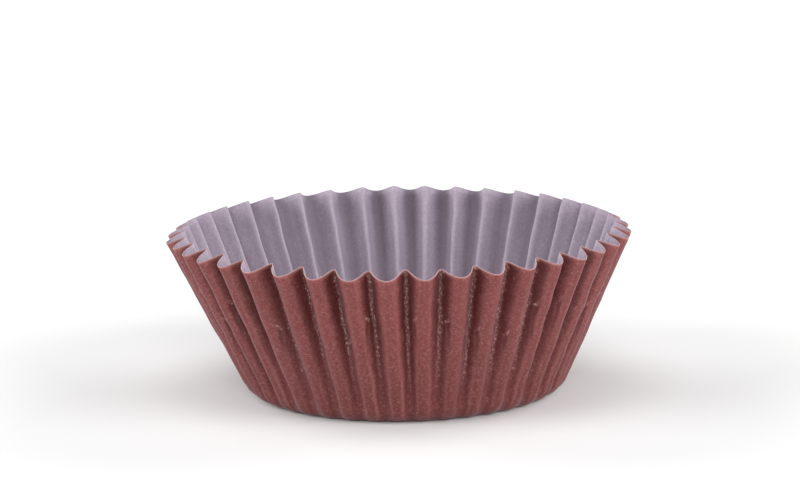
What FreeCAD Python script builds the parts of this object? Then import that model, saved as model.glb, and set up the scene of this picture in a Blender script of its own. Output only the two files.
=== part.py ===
import FreeCAD, Part
import os
import Sketcher

from FreeCAD import Placement, Rotation, Vector

# A fluted paper cupcake liner, pressed from one round sheet of greaseproof paper.
# Millimetres, +Z up. The origin is the middle of the flat base, where it rests.
# Each flute is a round ridge that leans outwards, and its neighbours meet it in
# sharp grooves. One flute is made from its filled outside less its filled inside,
# and the liner is that flute repeated all round.
# Paper doesn't stretch, so ridges and grooves are equally long. A groove runs
# steeper than a ridge and ends higher, which makes the cut edge wave.

os.makedirs("parts", exist_ok=True)
doc = FreeCAD.newDocument("cupcake_liner")

# Driving sizes: name, value, what it is
SIZES = (
    ("base_diameter", 50.0, "circle where the slope of the ridges meets the table"),
    ("rim_diameter", 73.5, "over the ridges at the rim"),
    ("wall_slant", 27.7, "length of the ridges' slope from the table to the rim"),
    ("corner_radius", 4.0, "bend between base and wall"),
    ("flute_count", 40, "flutes all round"),
    ("rim_flute_depth", 2.7, "ridge to groove, measured level at the rim"),
    ("paper_thickness", 0.08, "one sheet"),
)

# Worked out from those: name, formula, what it is
WORKED_OUT = (
    ("slope_run", "(sizes.rim_diameter - sizes.base_diameter) / 2", "ridge, inwards to outwards"),
    ("slope_rise", "sqrt(sizes.wall_slant ^ 2 - slope_run ^ 2)", "height of the rim at a ridge"),
    ("lean", "asin(slope_run / sizes.wall_slant) / 1deg", "ridge from upright, degrees"),
    ("stretch", "sizes.wall_slant / slope_rise", "level section of a leaning ridge"),
    ("half_flute", "180 / sizes.flute_count", "degrees round the liner"),
    ("groove_reach", "sizes.rim_diameter / 2 - sizes.rim_flute_depth", "groove at the rim"),
    ("rim_half_width", "groove_reach * tan(half_flute * 1deg)", "ridge to groove, sideways"),
    ("square_depth", "sizes.rim_flute_depth / stretch", "flute depth square to the slope"),
    (
        "ridge_radius",
        "(rim_half_width ^ 2 + square_depth ^ 2) / (2 * square_depth)",
        "round ridge that is this deep where it meets the next one",
    ),
    ("foot_half_width", "sizes.base_diameter / 2 * tan(half_flute * 1deg)", "the same at the table"),
    (
        "foot_depth",
        "stretch * (ridge_radius - sqrt(ridge_radius ^ 2 - foot_half_width ^ 2))",
        "flute depth where the slope meets the table",
    ),
    (
        "groove_rise",
        "sqrt(sizes.wall_slant ^ 2 - (slope_run - sizes.rim_flute_depth + foot_depth) ^ 2)",
        "height of the rim in a groove, which is as long as a ridge",
    ),
    (
        "core_reach",
        "sizes.base_diameter / 2 - stretch * (square_depth + sizes.paper_thickness)",
        "solid core behind the grooves, at the table",
    ),
    (
        "bend_reach",
        "sizes.base_diameter / 2 - sizes.corner_radius * tan((90 - lean) / 2 * 1deg)",
        "end of the flat base",
    ),
    ("overrun", "sizes.wall_slant / 4", "what a shape is made too long by, to be cut off"),
)


def fill_sheet(name, rows, lead=""):
    """A spreadsheet of named cells, each beside a note of what it is."""
    sheet = doc.addObject("Spreadsheet::Sheet", name)
    for row, (alias, content, meaning) in enumerate(rows, start=1):
        sheet.set(f"A{row}", meaning)
        sheet.setAlias(f"B{row}", alias)
        sheet.set(f"B{row}", f"{lead}{content}")
    doc.recompute()
    return sheet


sizes = fill_sheet("sizes", SIZES)
worked = fill_sheet("worked", WORKED_OUT, "=")


def bind(feature, **formulas):
    """Ties a feature's properties to the sheets. Two underscores stand for a dot."""
    for name, formula in formulas.items():
        feature.setExpression(name.replace("__", "."), formula)
    return feature


def section_sketch(name, inset, lift):
    """Half a section of the filled liner through a ridge, with its base this far up.

    The side past the bend splays out beyond the ridges, and only its top edge, which
    slopes up from ridge to groove, cuts them.
    """
    sketch = doc.addObject("Sketcher::SketchObject", name)
    sketch.Placement = Placement(Vector(), Rotation(Vector(1, 0, 0), 90))
    start, end, middle = 1, 2, 3
    axis_x, axis_y = -1, -2

    def line(x1, z1, x2, z2):
        return sketch.addGeometry(Part.LineSegment(Vector(x1, z1, 0), Vector(x2, z2, 0)))

    # First guesses, which the constraints then move
    base = line(0, 0, 22, 0)
    side = line(26, 2, 39, 24)
    rim = line(39, 24, 34, 26)
    top = line(34, 26, 0, 26)
    axle = line(0, 26, 0, 0)
    circle = Part.Circle(Vector(22, 4, 0), Vector(0, 0, 1), 4)
    bend = sketch.addGeometry(Part.ArcOfCircle(circle, -1.57, -0.5))
    ridge_end = sketch.addGeometry(Part.Point(Vector(36, 25, 0)), True)

    def fix(*details):
        return sketch.addConstraint(Sketcher.Constraint(*details))

    def fix_size(label, formula, *details):
        index = fix(*details)
        sketch.renameConstraint(index, label)
        sketch.setExpression(f"Constraints.{label}", formula)

    fix("Horizontal", base)
    fix("Horizontal", top)
    fix("PointOnObject", base, start, axis_y)
    fix("PointOnObject", axle, start, axis_y)
    fix("Coincident", axle, end, base, start)
    fix("Tangent", base, end, bend, start)
    fix("Tangent", bend, end, side, start)
    fix("Coincident", side, end, rim, start)
    fix("Coincident", rim, end, top, start)
    fix("Coincident", top, end, axle, start)
    fix("PointOnObject", ridge_end, start, rim)
    fix_size("bend_reach", "worked.bend_reach", "DistanceX", axis_x, start, bend, middle, 22.0)
    fix_size("bend_height", "sizes.corner_radius", "DistanceY", axis_x, start, bend, middle, 4.0)
    fix_size("bend_radius", f"sizes.corner_radius - {inset}", "Radius", bend, 4.0)
    fix_size("splay", "(90 - worked.lean - 5) * 1deg", "Angle", side, 1.0)
    fix_size(
        "ridge_reach", "sizes.rim_diameter / 2", "DistanceX", axis_x, start, ridge_end, start, 36.0
    )
    fix_size(
        "ridge_top", f"worked.slope_rise + {lift}", "DistanceY", axis_x, start, ridge_end, start, 25.0
    )
    fix_size("top_reach", "worked.groove_reach", "DistanceX", axis_x, start, rim, end, 33.0)
    fix_size(
        "top_height", f"worked.groove_rise + {lift}", "DistanceY", axis_x, start, rim, end, 26.0
    )
    doc.recompute()
    return sketch


def sector_sketch():
    """The slice of the plan that one flute takes, from groove to groove."""
    sketch = doc.addObject("Sketcher::SketchObject", "flute_slice")
    tip, right, left = Vector(), Vector(50, -4, 0), Vector(50, 4, 0)
    sides = [Part.LineSegment(a, b) for a, b in ((tip, right), (right, left), (left, tip))]
    lower, across, upper = (sketch.addGeometry(side) for side in sides)
    start, end, origin = 1, 2, -1
    for before, after in ((lower, across), (across, upper), (upper, lower)):
        sketch.addConstraint(Sketcher.Constraint("Coincident", before, end, after, start))
    sketch.addConstraint(Sketcher.Constraint("Coincident", lower, start, origin, start))
    sketch.addConstraint(Sketcher.Constraint("Symmetric", lower, end, upper, start, origin))
    spread = sketch.addConstraint(Sketcher.Constraint("Angle", lower, start, upper, end, 0.157))
    sketch.setExpression(f"Constraints[{spread}]", "2 * worked.half_flute * 1deg")
    far = sketch.addConstraint(Sketcher.Constraint("Distance", lower, 50.0))
    sketch.setExpression(f"Constraints[{far}]", "sizes.rim_diameter")
    doc.recompute()
    return sketch


def filled_flute(name, inset, lift):
    """One flute of the liner as if it were solid, set in by this much of paper."""
    section = section_sketch(f"{name}_section", inset, lift)
    across = doc.addObject("Part::Extrusion", f"{name}_section_block")
    across.Base = section
    across.Dir = Vector(0, 1, 0)
    across.Solid = True
    across.Symmetric = True
    bind(across, LengthFwd="sizes.rim_diameter / 2")

    # The ridge hangs from above the rim, so that its seam is on the hidden side
    ridge = doc.addObject("Part::Cylinder", f"{name}_ridge")
    ridge.Placement = Placement(Vector(), Rotation(Vector(0, 1, 0), 180))
    bind(
        ridge,
        Radius=f"worked.ridge_radius - {inset}",
        Height="sizes.wall_slant + 2 * worked.overrun",
        Placement__Rotation__Angle="(180 + worked.lean) * 1deg",
        Placement__Base__x="sizes.rim_diameter / 2 + worked.overrun * worked.slope_run"
        " / sizes.wall_slant - worked.ridge_radius / worked.stretch",
        Placement__Base__z="worked.slope_rise + worked.overrun / worked.stretch"
        " + worked.ridge_radius * worked.slope_run / sizes.wall_slant",
    )

    core = doc.addObject("Part::Cone", f"{name}_core")
    bind(
        core,
        Height="worked.slope_rise + 2 * worked.overrun",
        Radius1="worked.core_reach - worked.overrun * worked.slope_run / worked.slope_rise",
        Radius2="worked.core_reach + (worked.slope_rise + worked.overrun)"
        " * worked.slope_run / worked.slope_rise",
        Placement__Base__z="-worked.overrun",
    )

    joined = doc.addObject("Part::Fuse", f"{name}_ridge_and_core")
    joined.Base = core
    joined.Tool = ridge
    flute = doc.addObject("Part::MultiCommon", f"{name}_flute")
    flute.Shapes = [joined, across, flute_slice_block]
    return flute


flute_slice_block = doc.addObject("Part::Extrusion", "flute_slice_block")
flute_slice_block.Base = sector_sketch()
flute_slice_block.Dir = Vector(0, 0, 1)
flute_slice_block.Solid = True
bind(
    flute_slice_block,
    LengthFwd="worked.slope_rise + 2 * worked.overrun",
    LengthRev="worked.overrun",
)

flute = doc.addObject("Part::Cut", "paper_flute")
flute.Base = filled_flute("outside", "0", "0")
flute.Tool = filled_flute("inside", "sizes.paper_thickness", "worked.overrun / 4")
doc.recompute()


def repeated_all_round(shape, count):
    """Copies of one flute joined along their grooves, with one flat face for the base."""
    copies = []
    for place in range(count):
        copy = shape.copy()
        copy.rotate(Vector(), Vector(0, 0, 1), place * 360 / count)
        copies.append(copy)
    joined = copies[0].multiFuse(copies[1:]).removeSplitter()
    return joined.Solids[0] if len(joined.Solids) == 1 else joined


liner = doc.addObject("Part::Feature", "liner")
liner.Label = "liner"
liner.Shape = repeated_all_round(flute.Shape, int(sizes.flute_count))
liner.Placement = Placement()
doc.recompute()

for feature in doc.Objects:
    if "Invalid" in feature.State or "Error" in feature.State:
        raise RuntimeError(f"{feature.Label} failed: {feature.State}")
for feature in (flute, liner):
    if feature.Shape.isNull() or not feature.Shape.isValid():
        raise RuntimeError(f"{feature.Label} has no valid shape")
if len(liner.Shape.Solids) != 1:
    raise RuntimeError("the liner isn't one sheet")

liner.Shape.exportStep(f"parts/{liner.Label}.step")
box = liner.Shape.BoundBox
print(f"liner {box.XLength:.2f} x {box.YLength:.2f} x {box.ZLength:.2f} mm")
print(f"paper {liner.Shape.Volume:.1f} mm3, {len(liner.Shape.Faces)} faces")
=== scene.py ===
import math

import bmesh
import bpy
import numpy as np
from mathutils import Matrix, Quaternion, Vector


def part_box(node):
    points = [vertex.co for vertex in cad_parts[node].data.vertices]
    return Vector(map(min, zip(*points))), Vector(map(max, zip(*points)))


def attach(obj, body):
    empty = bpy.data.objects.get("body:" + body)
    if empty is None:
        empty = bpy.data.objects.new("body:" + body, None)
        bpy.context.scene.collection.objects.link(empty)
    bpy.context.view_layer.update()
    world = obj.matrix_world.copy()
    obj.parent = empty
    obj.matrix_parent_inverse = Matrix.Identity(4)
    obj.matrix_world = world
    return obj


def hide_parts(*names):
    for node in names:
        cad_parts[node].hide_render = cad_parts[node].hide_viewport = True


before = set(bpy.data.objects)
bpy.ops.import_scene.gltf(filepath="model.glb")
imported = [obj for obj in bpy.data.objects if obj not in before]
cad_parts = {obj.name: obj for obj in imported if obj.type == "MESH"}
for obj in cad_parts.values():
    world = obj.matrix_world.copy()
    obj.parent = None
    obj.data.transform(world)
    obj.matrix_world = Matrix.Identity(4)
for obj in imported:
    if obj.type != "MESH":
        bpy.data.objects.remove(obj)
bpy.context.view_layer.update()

# One pressed paper cupcake liner: brown outside, lilac-grey inside, with a pale cut edge.
# Metres, +Z up, standing on the table at z = 0. The photo looks along +Y.

MM = 0.001

# The sheet's sizes, the same as the solid's
RIM_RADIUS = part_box("liner")[1].x
BASE_RADIUS = 25.0 * MM
WALL_SLANT = 27.7 * MM
CORNER_RADIUS = 4.0 * MM
RIM_FLUTE_DEPTH = 2.7 * MM
PAPER = 0.08 * MM
FLUTES = 40

# How the flutes are pressed: their depth at the corner as a share of that at the rim, how far
# up they take to form, and how full a ridge is on each side, where 0 is a plain wave
ROOT_SHARE = 0.2
FADE_LENGTH = 6.5 * MM
LEFT_FULLNESS = 0.67
RIGHT_FULLNESS = 0.57
BASE_FULLNESS_SHARE = 0.45
FULLNESS_LENGTH = 16.0 * MM

# Where a groove levels off, how softly, and how much of its gain in height it keeps
GROOVE_FLOOR = 0.88
FLOOR_SOFTNESS = 0.30
GROOVE_RISE_SHARE = 0.75

# How far this one has been knocked out of true
SEED = 11
GROOVE_DRIFT = 0.05
DEPTH_SPREAD = 0.07
RIDGE_SPREAD = 0.14 * MM
RIM_SPREAD = 0.12 * MM
WANDER = 0.22 * MM
FULLNESS_SPREAD = 0.09
RIPPLE = 0.045 * MM
GROOVE_RIPPLE = 0.012
RIPPLE_LENGTHS = (5.5 * MM, 9.0 * MM, 15.0 * MM)
RIM_LEAN = Vector((-0.7, 0.15, 0.0)) * MM

# How finely the sheet is modelled
COLUMNS = 24
FLAT_ROWS = 7
BEND_ROWS = 13
WALL_ROWS = 24
PATH_STEPS = 360
MIDDLE_SHARE = 0.02

# The photo's frame, its camera, and the pixel that the middle of the base falls on
FRAME_WIDTH, FRAME_HEIGHT = 800, 504
BASE_PIXEL = (406.2, 387.0)
FOCAL_PIXELS = 4106.0
SENSOR_WIDTH = 36.0
CAMERA_DISTANCE = 0.657
CAMERA_ELEVATION = math.radians(13.45)
CAMERA_AZIMUTH = math.radians(3.10)
CAMERA_ROLL = math.radians(-1.19)

# Worked out from those
steepness = math.acos((RIM_RADIUS - BASE_RADIUS) / WALL_SLANT)
flat_radius = BASE_RADIUS - CORNER_RADIUS * math.tan(steepness / 2)
bend_paper = CORNER_RADIUS * steepness
wall_paper = bend_paper + WALL_SLANT - CORNER_RADIUS * math.tan(steepness / 2)
sheet_radius = flat_radius + wall_paper
pitch = 2 * math.pi / FLUTES

# Places on the sheet, in millimetres out from its middle
FLAT_EDGE = flat_radius / MM
CREASE_FOOT = FLAT_EDGE + 5.5
NIP_PLACE = FLAT_EDGE + 19.5
CUT_EDGE = sheet_radius / MM


def eased(share):
    """0 to 1 with a soft start and a soft end."""
    share = np.clip(share, 0.0, 1.0)
    return share * share * (3 - 2 * share)


def flattened(share):
    """The share itself, levelled off softly where it would pass 1."""
    near = np.clip(1 - abs(share - 1) / FLOOR_SOFTNESS, 0.0, 1.0)
    return np.minimum(share, 1.0) - near**2 * FLOOR_SOFTNESS / 4


def ridge_reach(along):
    """Radius of a ridge this much paper beyond the flat base."""
    bent = np.clip(along / CORNER_RADIUS, 0.0, steepness)
    straight = np.maximum(along - bend_paper, 0.0)
    return flat_radius + CORNER_RADIUS * np.sin(bent) + straight * math.cos(steepness)


def round_the_rim(chance, size, waves):
    """A smooth random drift for each groove, which closes on itself round the liner."""
    places = np.arange(FLUTES) * pitch
    drift = np.zeros(FLUTES)
    for wave in range(1, waves + 1):
        drift += chance.normal() * np.sin(wave * places + chance.uniform(0, 2 * math.pi)) / waves
    return size * (drift + 0.6 * chance.normal(size=FLUTES))


def ripples(chance, size, along, flute):
    """A slow unevenness up each flute, different from one flute to the next."""
    uneven = np.zeros((len(along), FLUTES))
    for length in RIPPLE_LENGTHS:
        start = chance.uniform(0, 2 * math.pi, FLUTES)
        amount = chance.uniform(0.3, 1.0, FLUTES)
        uneven += amount * np.sin(2 * math.pi * along / length + start)
    return size * uneven[:, flute]


def climb(step, reach):
    """Height gained along a line of paper, from each step's length and its change of reach."""
    rise = np.sqrt(np.maximum(step**2 - np.diff(reach, axis=0) ** 2, 0.0))
    return np.vstack([np.zeros_like(rise[:1]), np.cumsum(rise, axis=0)])


def pressed_wall(along):
    """Reach, turn and height of every column, this much paper beyond the flat base."""
    chance = np.random.default_rng(SEED)
    groove_drift = round_the_rim(chance, GROOVE_DRIFT * pitch, 6)
    groove_depth = 1 + round_the_rim(chance, DEPTH_SPREAD, 4)
    ridge_push = round_the_rim(chance, RIDGE_SPREAD, 3)
    rim_stretch = round_the_rim(chance, RIM_SPREAD, 5) / wall_paper
    wander = round_the_rim(chance, WANDER, 3)

    column = np.arange(FLUTES * COLUMNS + 1)
    flute = (column // COLUMNS) % FLUTES
    following = (flute + 1) % FLUTES
    phase = 2 * math.pi * (column % COLUMNS) / COLUMNS - math.pi
    groove = flattened((1 - np.cos(phase)) / 2 / GROOVE_FLOOR)
    ridge = 1 - groove
    depth = np.where(phase < 0, groove_depth[flute], groove_depth[following])

    up = along / wall_paper
    loose = eased(up * 3)
    taper = ROOT_SHARE + (1 - ROOT_SHARE) * up
    dip = RIM_FLUTE_DEPTH * taper * eased(along / FADE_LENGTH)
    push = ridge_push[flute] * ridge * eased(up)
    push = push + ripples(chance, RIPPLE, along, flute) * ridge * loose
    reach = ridge_reach(along) - groove * depth * dip + push

    left_full = LEFT_FULLNESS + FULLNESS_SPREAD * chance.uniform(-1, 1, FLUTES)
    right_full = RIGHT_FULLNESS + FULLNESS_SPREAD * chance.uniform(-1, 1, FLUTES)
    filling = BASE_FULLNESS_SHARE + (1 - BASE_FULLNESS_SHARE) * eased(along / FULLNESS_LENGTH)
    fullness = np.where(phase < 0, left_full[flute], right_full[flute]) * filling
    across = (phase + fullness * np.sin(phase)) / (2 * math.pi) + 0.5
    sway = ripples(chance, GROOVE_RIPPLE * pitch, along, np.arange(FLUTES))
    left = (groove_drift[flute] + sway[:, flute]) * loose
    right = (groove_drift[following] + sway[:, following]) * loose
    swing = wander[flute] * np.sin(math.pi * up) / BASE_RADIUS * ridge
    turn = (column // COLUMNS) * pitch + left + across * (pitch + right - left) + swing
    turn = turn - math.pi - pitch / 2

    # Paper doesn't stretch, so what a line gives up in reach it gains in height
    stretch = rim_stretch[flute] * (1 - across) + rim_stretch[following] * across
    growth = 1 + stretch * eased(up)
    step = wall_paper / PATH_STEPS * (growth[1:] + growth[:-1]) / 2
    plain_height = climb(step, ridge_reach(along))
    height = plain_height + GROOVE_RISE_SHARE * (climb(step, reach) - plain_height)
    return reach, turn, height, column // COLUMNS + across[-1]


def pressed_sheet():
    """Where every point of the sheet lies: rows out from the middle, columns round it."""
    along = np.linspace(0.0, wall_paper, PATH_STEPS + 1)[:, None]
    reach, turn, height, flute_place = pressed_wall(along)
    bend_share = FADE_LENGTH / wall_paper
    bend_rows = np.linspace(0, bend_share, BEND_ROWS, endpoint=False)
    rows = np.concatenate([bend_rows, np.linspace(bend_share, 1, WALL_ROWS)])
    picked = np.round(rows * PATH_STEPS).astype(int)
    flat = np.linspace(MIDDLE_SHARE, 1.0, FLAT_ROWS, endpoint=False)[:, None]
    flat_reach = flat * flat_radius * np.ones_like(reach[:1])
    reach = np.vstack([flat_reach, reach[picked]])
    height = np.vstack([np.zeros_like(flat_reach), height[picked]])
    turn = np.vstack([np.repeat(turn[:1], FLAT_ROWS, axis=0), turn[picked]])
    distance = np.concatenate([flat[:, 0] * flat_radius, flat_radius + along[picked, 0]])
    return reach, turn, height, distance, flute_place


def liner_sheet():
    """The sheet as one grid, rolled into the cup, with its middle closed."""
    reach, turn, height, distance, flute_place = pressed_sheet()
    rows, columns = reach.shape
    top = height.max()
    shape = bmesh.new()
    bmesh.ops.create_grid(
        shape, x_segments=columns - 1, y_segments=rows - 1, size=0.5, calc_uvs=False
    )
    sheet_map = shape.loops.layers.uv.new("sheet")
    for face in shape.faces:
        face.smooth = True
        for loop in face.loops:
            column = round((loop.vert.co.x + 0.5) * (columns - 1))
            row = round((loop.vert.co.y + 0.5) * (rows - 1))
            loop[sheet_map].uv = (flute_place[column], distance[row] / MM)
    for vert in shape.verts:
        column = round((vert.co.x + 0.5) * (columns - 1))
        row = round((vert.co.y + 0.5) * (rows - 1))
        lean = RIM_LEAN * (height[row, column] / top)
        vert.co = lean + Vector(
            (
                reach[row, column] * math.sin(turn[row, column]),
                -reach[row, column] * math.cos(turn[row, column]),
                height[row, column],
            )
        )
    bmesh.ops.remove_doubles(shape, verts=shape.verts, dist=1e-7)
    middle = [edge for edge in shape.edges if edge.is_boundary and edge.verts[0].co.xy.length < 1 * MM]
    bmesh.ops.holes_fill(shape, edges=middle, sides=0)
    bmesh.ops.recalc_face_normals(shape, faces=shape.faces)
    mesh = bpy.data.meshes.new("liner_paper")
    shape.to_mesh(mesh)
    shape.free()
    return mesh


class Wire:
    """A socket's value, which Python's operators work on by adding Math nodes."""

    def __init__(self, paint, socket):
        self.paint, self.socket = paint, socket

    def __add__(self, other):
        return self.paint.maths("ADD", self, other)

    def __sub__(self, other):
        return self.paint.maths("SUBTRACT", self, other)

    def __mul__(self, other):
        return self.paint.maths("MULTIPLY", self, other)

    def __truediv__(self, other):
        return self.paint.maths("DIVIDE", self, other)

    def __radd__(self, other):
        return self.paint.maths("ADD", other, self)

    def __rsub__(self, other):
        return self.paint.maths("SUBTRACT", other, self)

    def __rmul__(self, other):
        return self.paint.maths("MULTIPLY", other, self)

    def __rtruediv__(self, other):
        return self.paint.maths("DIVIDE", other, self)

    def __abs__(self):
        return self.paint.maths("ABSOLUTE", self)


class Paint:
    """One material, its shader and the ways that its nodes are added."""

    def __init__(self, name, **constants):
        self.material = bpy.data.materials.new(name)
        self.material.use_nodes = True
        self.tree = self.material.node_tree
        self.shader = self.tree.nodes["Principled BSDF"]
        for socket, value in constants.items():
            self.shader.inputs[socket.replace("_", " ")].default_value = value

    def node(self, kind, settings=None, sockets=None, out=0):
        """A new node with its settings and sockets set, as the wire of one of its outputs."""
        added = self.tree.nodes.new(kind)
        for name, value in (settings or {}).items():
            setattr(added, name, value)
        for name, value in (sockets or {}).items():
            if isinstance(value, Wire):
                self.tree.links.new(value.socket, added.inputs[name])
            else:
                added.inputs[name].default_value = value
        return Wire(self, added.outputs[out])

    def maths(self, operation, *values):
        return self.node("ShaderNodeMath", {"operation": operation}, dict(enumerate(values)))

    def feed(self, name, wire):
        self.tree.links.new(wire.socket, self.shader.inputs[name])

    def between(self, value, low, high):
        """0 where the value is low, 1 where it is high, eased between."""
        sockets = {0: value, 1: low, 2: high}
        return self.node("ShaderNodeMapRange", {"interpolation_type": "SMOOTHSTEP"}, sockets)

    def mix(self, share, first, second):
        settings = {"data_type": "RGBA", "blend_type": "MIX"}
        return self.node("ShaderNodeMix", settings, {0: share, 6: first, 7: second}, out=2)

    def coats(self, body, *coats):
        """Screen colours laid over the body one by one, each as thickly as its share says."""
        for share, red, green, blue in coats:
            body = self.mix(share, body, colour(red, green, blue))
        return body

    def place(self):
        """Object coordinates in millimetres."""
        spot = self.node("ShaderNodeTexCoord", out=3)
        return self.node("ShaderNodeVectorMath", {"operation": "SCALE"}, {0: spot, "Scale": 1 / MM})

    def noise(self, per_mm, detail=2.0, at=None, rough=0.5):
        sockets = {"Vector": at or self.place(), "Scale": per_mm, "Detail": detail, "Roughness": rough}
        return self.node("ShaderNodeTexNoise", None, sockets)

    def sheet(self):
        """Which flute a point is in, and how many millimetres out from the sheet's middle."""
        flat = self.node("ShaderNodeUVMap", {"uv_map": "sheet"})
        return [self.node("ShaderNodeSeparateXYZ", None, {0: flat}, out=part) for part in (0, 1)]

    def drawn_out(self, flutes, out, per_flute, per_mm, detail, rough=0.5):
        """Noise drawn out along the flutes or round them."""
        spot = self.node("ShaderNodeCombineXYZ", None, {0: flutes * per_flute, 1: out * per_mm})
        return self.noise(1.0, detail, at=spot, rough=rough)

    def chance(self, value):
        """A fixed random number for each whole value."""
        return self.node("ShaderNodeTexWhiteNoise", {"noise_dimensions": "1D"}, {"W": value})

    def bump(self, height, strength):
        """A normal from a height in millimetres."""
        sockets = {"Strength": strength, "Distance": MM, "Height": height}
        return self.node("ShaderNodeBump", None, sockets)


def colour(red, green, blue):
    """A screen colour, 0 to 255, as the linear colour that a shader takes."""
    return (*(((c / 255 + 0.055) / 1.055) ** 2.4 for c in (red, green, blue)), 1.0)


def groove_nearness(paint, flutes):
    """0 on the line of a ridge, 1 in the line of a groove."""
    return abs(paint.maths("FRACT", flutes) - 0.5) * 2


def nip_height(paint, flute, side):
    """How far out on the sheet the press nipped this side of this flute."""
    return NIP_PLACE + (paint.chance(flute * 3 + side) - 0.5) * 5.5


def nip_strength(paint, flute, side):
    """How hard that nip was: some are barely there."""
    return 0.2 + 0.8 * paint.between(paint.chance(flute * 3 + side + 900), 0.2, 0.7)


def nips(paint, flutes, out, side):
    """Small nips part way up one side of each flute, left by the press's fingers."""
    flute = paint.maths("FLOOR", flutes)
    place = 0.5 + side * (0.30 + (paint.chance(flute * 3 + side + 500) - 0.5) * 0.12)
    sideways = (paint.maths("FRACT", flutes) - place) / 0.060
    upwards = (out - nip_height(paint, flute, side)) / 0.50
    bent = upwards + sideways * side * 0.8
    ragged = (paint.noise(2.2, 2.0) - 0.5) * 1.3
    apart = paint.maths("SQRT", sideways * sideways + bent * bent) + ragged
    return (1 - paint.between(apart, 0.5, 1.25)) * nip_strength(paint, flute, side)


def nip_creases(paint, flutes, out, side):
    """The short crease that runs down and outwards from each nip."""
    flute = paint.maths("FLOOR", flutes)
    length = 4.0 + 6.0 * paint.chance(flute * 3 + side + 1300)
    below = (nip_height(paint, flute, side) - out) / length
    place = 0.5 + side * (0.31 - below * 0.10 + (paint.noise(0.45, 2.0) - 0.5) * 0.14)
    sideways = abs(paint.maths("FRACT", flutes) - place) / 0.070
    reach = paint.between(below, -0.02, 0.06) * (1 - paint.between(below, 0.4, 1.0))
    return (1 - paint.between(sideways, 0.1, 1.0)) * reach * nip_strength(paint, flute, side)


def rubbed_floor(paint, out, groove, blotches):
    """The strip along each groove's floor, above the corner, where the print is rubbed."""
    floor = paint.between(groove, 0.83, 0.95)
    return floor * paint.between(out + blotches * 8, CREASE_FOOT + 5, CREASE_FOOT + 14)


def painted_groove_shade(paint, out, groove, half):
    """Painted shade on the sides of the grooves, each of its own width, which fades out downwards."""
    width = (paint.chance(half) - 0.5) * 0.16
    groove_shade = paint.between(groove + width, 0.36, 0.74)
    groove_shade = groove_shade * (0.22 + 0.78 * paint.between(out, CREASE_FOOT + 1, CREASE_FOOT + 17))
    return groove_shade * paint.between(out, CREASE_FOOT - 5, CREASE_FOOT + 1)


def ridge_edge(paint, out, groove, half):
    """The pale line along each edge of a ridge, clearest low down."""
    high = paint.between(out, CREASE_FOOT + 2, CREASE_FOOT + 12)
    line = 1 - paint.between(abs(groove - (0.50 - 0.12 * high)), 0.02, 0.21)
    line = line * paint.between(out, FLAT_EDGE + 1, FLAT_EDGE + 4)
    return line * (1 - 0.5 * high) * (0.35 + 0.65 * paint.chance(half + 77))


def printed_paper():
    """The brown outside: fine grain, faint streaks up the flutes and rubbed groove lines."""
    paint = Paint(
        "brown_paper",
        Specular_IOR_Level=0.30,
        Sheen_Weight=0.12,
        Sheen_Roughness=0.34,
        Sheen_Tint=(0.92, 0.82, 1.0, 1.0),
    )
    flutes, out = paint.sheet()
    groove = groove_nearness(paint, flutes)
    half = paint.maths("FLOOR", flutes * 2)
    grain = paint.noise(2.6, 3.0, rough=0.7)
    clouds = paint.noise(0.16, 3.0)
    blotches = paint.noise(0.8, 2.0)
    streaks = paint.drawn_out(flutes, out, 8.0, 0.10, 3.0)
    wrinkles = paint.drawn_out(flutes, out, 8.0, 5.0, 2.0)
    specks = paint.between(paint.drawn_out(flutes, out, 22.0, 2.0, 2.0, 0.6), 0.50, 0.64)
    dots = paint.between(paint.noise(3.0, 1.0), 0.68, 0.76)
    ragged = (blotches - 0.5) * 0.22 + (paint.noise(1.9, 2.0) - 0.5) * 0.16

    floor = rubbed_floor(paint, out, groove + ragged, blotches)
    groove_shade = painted_groove_shade(paint, out, groove + ragged, half)
    edge = ridge_edge(paint, out, groove + ragged * 0.5, half)
    nip = nips(paint, flutes, out, 1) + nips(paint, flutes, out, -1)
    crease = nip_creases(paint, flutes, out, 1) + nip_creases(paint, flutes, out, -1)
    lip = paint.between(out, CUT_EDGE - 0.35, CUT_EDGE - 0.05)
    # Painted shade: the wall darker towards the bottom, fading out towards the rim
    low = 1 - paint.between(out, FLAT_EDGE, CUT_EDGE - 4)

    body = paint.coats(
        paint.mix(clouds, colour(103, 41, 39), colour(119, 52, 50)),
        (streaks * 0.40, 137, 76, 76),
        (blotches * 0.30, 98, 41, 39),
        (low * 0.82, 95, 41, 37),
        (paint.between(grain, 0.48, 0.68) * 0.29, 162, 116, 118),
        (paint.between(1 - grain, 0.50, 0.68) * 0.29, 88, 35, 34),
        (paint.between(wrinkles, 0.50, 0.70) * 0.21, 160, 104, 102),
        (paint.between(1 - wrinkles, 0.52, 0.70) * 0.19, 88, 35, 34),
        # Painted shade: the sides of the grooves darkened where their own shade falls
        (groove_shade * 0.68, 62, 14, 11),
        # Painted shade in the crease below each nip
        (crease * 0.50, 66, 20, 17),
        (floor * 0.40, 124, 80, 75),
        (floor * specks * 0.55, 190, 162, 156),
        (edge * 0.27, 168, 112, 109),
        (dots * 0.22, 186, 146, 142),
        (nip * 0.35, 146, 92, 90),
        (nip * specks * 0.55, 206, 166, 160),
        (lip * 0.5, 168, 124, 122),
    )
    paint.feed("Base Color", body)
    paint.feed("Roughness", 0.38 + grain * 0.18 + floor * 0.20)

    ribs = paint.maths("SINE", out * 8.5 + blotches * 9.0)
    relief = grain * 0.080 + streaks * 0.055 + blotches * 0.110 + wrinkles * 0.030
    relief = relief + floor * (ribs * 0.012 + specks * 0.030) + nip * 0.10 - crease * 0.10
    paint.feed("Normal", paint.bump(relief, 1.0))
    return paint.material


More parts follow.
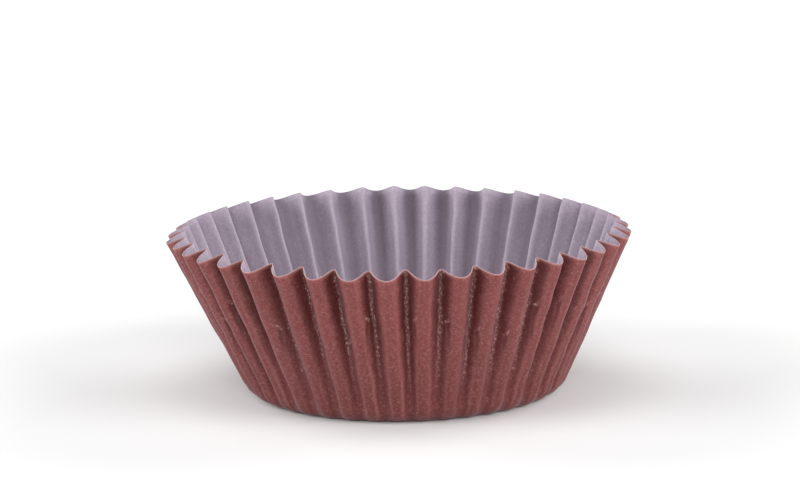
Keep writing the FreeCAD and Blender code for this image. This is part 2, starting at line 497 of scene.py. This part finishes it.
def plain_paper():
    """The lilac-grey inside, unprinted, with painted shade in its valleys and painted highlights along
    its ridge lines.
    """
    paint = Paint("lilac_grey_paper", Specular_IOR_Level=0.25)
    flutes, out = paint.sheet()
    groove = groove_nearness(paint, flutes)
    grain = paint.noise(2.8, 3.0, rough=0.7)
    clouds = paint.noise(0.2, 3.0)
    streaks = paint.drawn_out(flutes, out, 8.0, 0.10, 3.0)
    ragged = (paint.noise(1.9, 2.0) - 0.5) * 0.20
    wall = paint.between(out, FLAT_EDGE, CREASE_FOOT + 3)
    ridge_highlight = paint.between(groove + ragged, 0.72, 0.94) * wall
    valley_shade = paint.between(1 - groove + ragged, 0.30, 0.85) * wall
    specks = paint.between(paint.noise(2.4, 3.0, rough=0.65), 0.5, 0.66)
    spots = paint.between(paint.noise(2.0, 2.0), 0.62, 0.72)

    body = paint.coats(
        paint.mix(clouds, colour(140, 127, 142), colour(158, 146, 160)),
        (streaks * 0.35, 124, 110, 124),
        (paint.between(grain, 0.48, 0.68) * 0.22, 182, 172, 184),
        (paint.between(1 - grain, 0.50, 0.68) * 0.22, 112, 98, 110),
        # Painted shade in the valleys, with darker specks within it
        (valley_shade * 0.60, 84, 71, 83),
        (valley_shade * spots * 0.25, 92, 68, 74),
        # Painted highlight along the inner ridge lines
        (ridge_highlight * (0.20 + specks * 0.20), 188, 177, 188),
    )
    paint.feed("Base Color", body)
    paint.feed("Roughness", 0.6 + grain * 0.15)
    paint.feed("Normal", paint.bump(grain * 0.050 + streaks * 0.030, 0.9))
    return paint.material


def cut_edge():
    """The thin line of pale paper that the cutter bared."""
    paint = Paint("cut_paper_edge", Specular_IOR_Level=0.3)
    fibres = paint.noise(5.0, 3.0)
    paint.feed("Base Color", paint.mix(fibres, colour(176, 132, 132), colour(206, 172, 170)))
    paint.feed("Roughness", 0.75 + fibres * 0.15)
    return paint.material


def liner():
    """The cup: one sheet with its paper's thickness inwards and a finish for each side."""
    cup = bpy.data.objects.new("liner_sheet", liner_sheet())
    bpy.context.scene.collection.objects.link(cup)
    for finish in (printed_paper(), plain_paper(), cut_edge()):
        cup.data.materials.append(finish)
    wall = cup.modifiers.new("paper", "SOLIDIFY")
    wall.thickness = PAPER
    wall.offset = -1.0
    wall.material_offset = 1
    wall.material_offset_rim = 2
    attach(cup, "root")
    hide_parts("liner")


def table():
    """A plain white table that runs out of view."""
    shape = bmesh.new()
    bmesh.ops.create_circle(shape, cap_ends=True, segments=96, radius=3.0)
    mesh = bpy.data.meshes.new("table")
    shape.to_mesh(mesh)
    shape.free()
    white = (0.74, 0.74, 0.74, 1.0)
    paint = Paint("white_table", Base_Color=white, Roughness=0.7, Specular_IOR_Level=0.2)
    mesh.materials.append(paint.material)
    top = bpy.data.objects.new("table", mesh)
    bpy.context.scene.collection.objects.link(top)


def soft_light(name, azimuth, elevation, spread, strength):
    """A broad soft light, so far away that it lights the whole table evenly."""
    light = bpy.data.lights.new(name, "SUN")
    light.angle = math.radians(spread)
    light.energy = strength
    lamp = bpy.data.objects.new(name, light)
    bpy.context.scene.collection.objects.link(lamp)
    turn, tilt = math.radians(azimuth), math.radians(elevation)
    away = Vector((math.sin(turn) * math.cos(tilt), -math.cos(turn) * math.cos(tilt), math.sin(tilt)))
    lamp.location = away
    lamp.rotation_euler = away.to_track_quat("Z", "Y").to_euler()


def studio():
    """White surroundings, which light the liner softly, with broad lights round it."""
    scene = bpy.context.scene
    world = bpy.data.worlds.new("studio")
    world.use_nodes = True
    tree = world.node_tree
    backdrop = tree.nodes["Background"]
    backdrop.inputs["Color"].default_value = (1.0, 1.0, 1.0, 1.0)

    # The backdrop looks white, and as a light it is fainter
    seen = tree.nodes.new("ShaderNodeLightPath")
    strength = tree.nodes.new("ShaderNodeMapRange")
    strength.inputs["To Min"].default_value = 0.25
    strength.inputs["To Max"].default_value = 1.0
    tree.links.new(seen.outputs["Is Camera Ray"], strength.inputs["Value"])
    tree.links.new(strength.outputs["Result"], backdrop.inputs["Strength"])
    scene.world = world
    scene.view_settings.view_transform = "Standard"

    soft_light("right_light", 62, 24, 38, 2.05)
    soft_light("left_light", -68, 24, 38, 1.90)
    soft_light("front_light", 6, 24, 24, 1.10)
    soft_light("top_light", -20, 80, 40, 0.80)
    soft_light("back_left_light", -125, 24, 38, 1.45)
    soft_light("back_right_light", 125, 24, 38, 1.45)


def camera():
    """The photo's camera, turned so that the middle of the base falls on its pixel."""
    back = Vector(
        (
            math.sin(CAMERA_AZIMUTH) * math.cos(CAMERA_ELEVATION),
            -math.cos(CAMERA_AZIMUTH) * math.cos(CAMERA_ELEVATION),
            math.sin(CAMERA_ELEVATION),
        )
    )
    lens = bpy.data.cameras.new("photo_camera")
    lens.sensor_width = SENSOR_WIDTH
    lens.lens = FOCAL_PIXELS / FRAME_WIDTH * SENSOR_WIDTH
    lens.clip_start = 0.05
    lens.clip_end = 20.0
    eye = bpy.data.objects.new("photo_camera", lens)
    bpy.context.scene.collection.objects.link(eye)
    eye.location = back * CAMERA_DISTANCE
    aim = (-back).to_track_quat("-Z", "Y")
    roll = Quaternion((0, 0, 1), CAMERA_ROLL)
    right = math.atan((BASE_PIXEL[0] - FRAME_WIDTH / 2) / FOCAL_PIXELS)
    down = math.atan((BASE_PIXEL[1] - FRAME_HEIGHT / 2) / FOCAL_PIXELS)
    swing = Quaternion((0, 1, 0), right) @ Quaternion((1, 0, 0), down)
    eye.rotation_mode = "QUATERNION"
    eye.rotation_quaternion = aim @ roll @ swing
    bpy.context.scene.camera = eye


liner()
table()
studio()
camera()
